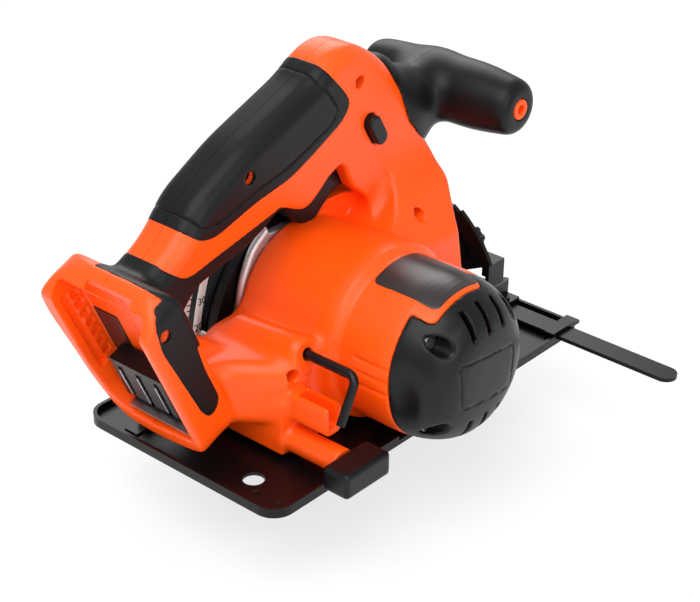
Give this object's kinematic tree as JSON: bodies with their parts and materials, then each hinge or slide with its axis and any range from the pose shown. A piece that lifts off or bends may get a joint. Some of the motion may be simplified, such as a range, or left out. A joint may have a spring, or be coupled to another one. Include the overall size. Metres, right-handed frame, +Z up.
{
  "type": "cordless circular saw",
  "caption": "Hand-held circular saw with a battery foot, sideways motor, tilting depth-adjusted base, blade guards, front handle and a sliding guide bar.",
  "frame": {"origin": "middle of the base plate's flat underside (the sole)", "axes": "+X the cutting direction, +Y towards the blade side, +Z up, square to the sole"},
  "size_m": [0.3193, 0.24, 0.2311],
  "materials": {
    "soft_black_rubber": "soft-touch moulded grip",
    "black_abs": "moulded black ABS, fine grain",
    "orange_abs": "moulded orange ABS, semi-gloss",
    "black_painted_steel": "black powder-coated sheet",
    "white_painted_steel": "white scale face",
    "cast_aluminium": "cast and tumbled",
    "bright_steel": "turned or ground steel",
    "blackened_steel": "oiled black hex steel",
    "motor_steel": "plated steel can",
    "bronze": "sintered bronze",
    "copper": "copper and lacquered windings",
    "carbon": "pressed carbon"
  },
  "bodies": {
    "base": {"base_plate": "black_painted_steel", "bevel_quadrant": "black_painted_steel", "hinge_ears": "black_painted_steel", "bevel_rivets": "bright_steel"},
    "rip_guide": {"guide_bar": "black_painted_steel", "guide_fence": "black_painted_steel"},
    "guide_clamp": {"guide_screw": "black_abs"},
    "bevel_frame": {"front_bracket": "black_painted_steel", "depth_quadrant": "white_painted_steel", "bevel_bolt": "bright_steel", "depth_pivot_pin": "bright_steel"},
    "bevel_clamp": {"bevel_knob": "black_abs"},
    "saw_body": {"housing_right": "orange_abs", "housing_left": "orange_abs", "grip_right": "soft_black_rubber", "grip_left": "soft_black_rubber", "foot_pads": "soft_black_rubber", "motor_cap": "black_abs", "cap_screws": "bright_steel", "motor_can": "motor_steel", "magnets": "motor_steel", "brush_plate": "black_abs", "brushes": "carbon", "front_bearing": "bright_steel", "rear_bearing": "bright_steel", "pinion_bush": "bronze", "spindle_bearing": "bright_steel", "needle_bearing": "bright_steel", "gear_case": "cast_aluminium", "upper_guard": "black_painted_steel", "guard_spring": "bright_steel", "terminal_block": "black_abs", "contact_blades": "bright_steel", "rail_plate": "bright_steel", "switch_body": "black_abs", "trigger_pin": "bright_steel", "aux_handle_right": "black_abs", "aux_handle_left": "black_abs", "aux_end_cap": "orange_abs", "housing_screws": "bright_steel", "guard_screws": "bright_steel", "depth_bolt": "bright_steel"},
    "switch_trigger": {"trigger": "black_abs"},
    "lock_off": {"lock_off_button": "black_abs"},
    "arbor_lock": {"spindle_lock": "black_abs"},
    "depth_clamp": {"depth_lever": "black_abs"},
    "blade_guard": {"lower_guard": "cast_aluminium", "guard_knob": "black_abs"},
    "arbor": {"spindle": "bright_steel", "spur_gear": "bright_steel", "inner_flange": "bright_steel", "blade": "bright_steel", "outer_flange": "bright_steel", "blade_bolt": "bright_steel"},
    "armature": {"armature_shaft": "bright_steel", "armature_core": "copper", "commutator": "copper", "fan": "black_abs", "pinion": "bright_steel"},
    "hex_wrench": {"hex_key": "blackened_steel"}
  },
  "joints": [
    {"name": "guide_slide", "type": "slide", "parent": "base", "child": "rip_guide", "axis": [0, 1, 0], "range_m": [-0.01, 0.1]},
    {"name": "guide_screw_turn", "type": "hinge", "parent": "base", "child": "guide_clamp", "pos_m": [0.114, -0.022, 0.01], "axis": [0, 0, 1], "range_deg": [0, 180]},
    {"name": "bevel_tilt", "type": "hinge", "parent": "base", "child": "bevel_frame", "pos_m": [0, 0.04, 0.007], "axis": [-1, 0, 0], "range_deg": [0, 45]},
    {"name": "bevel_knob_turn", "type": "hinge", "parent": "bevel_frame", "child": "bevel_clamp", "pos_m": [0.104, -0.00366, 0.04364], "axis": [1, 0, 0], "range_deg": [0, 180]},
    {"name": "depth_swing", "type": "hinge", "parent": "bevel_frame", "child": "saw_body", "pos_m": [0.084, 0.02525, 0.018], "axis": [0, 1, 0], "range_deg": [0, 28]},
    {"name": "trigger_pull", "type": "hinge", "parent": "saw_body", "child": "switch_trigger", "pos_m": [0.014, 0.0205, 0.114], "axis": [0, 1, 0], "range_deg": [0, 9], "stiffness_Nm_per_rad": 0.6, "springref_deg": -8.59},
    {"name": "lock_off_push", "type": "slide", "parent": "saw_body", "child": "lock_off", "axis": [0, 1, 0], "range_m": [0, 0.004], "stiffness_N_per_m": 300, "springref_m": -0.002},
    {"name": "arbor_lock_push", "type": "slide", "parent": "saw_body", "child": "arbor_lock", "axis": [-1, 0, 0], "range_m": [0, 0.004], "stiffness_N_per_m": 300, "springref_m": -0.002},
    {"name": "depth_lever_turn", "type": "hinge", "parent": "saw_body", "child": "depth_clamp", "pos_m": [-0.0797, -0.08, 0.0128], "axis": [0, 1, 0], "range_deg": [0, 30]},
    {"name": "guard_swing", "type": "hinge", "parent": "saw_body", "child": "blade_guard", "pos_m": [0.0026, 0.032, 0.029], "axis": [0, 1, 0], "range_deg": [0, 115], "stiffness_Nm_per_rad": 0.06, "springref_deg": -34.38},
    {"name": "arbor_spin", "type": "hinge", "parent": "saw_body", "child": "arbor", "pos_m": [0.0026, 0.02, 0.029], "axis": [0, 1, 0], "continuous": true},
    {"name": "armature_spin", "type": "hinge", "parent": "saw_body", "child": "armature", "pos_m": [-0.012, -0.05, 0.04892], "axis": [0, 1, 0], "continuous": true},
    {"name": "hex_key_pull", "type": "slide", "parent": "saw_body", "child": "hex_wrench", "axis": [0, -1, 0], "range_m": [0, 0.075]}
  ],
  "couplings": [
    {"joint": "armature_spin", "follows": "arbor_spin", "ratio": -4.7778}
  ]
}
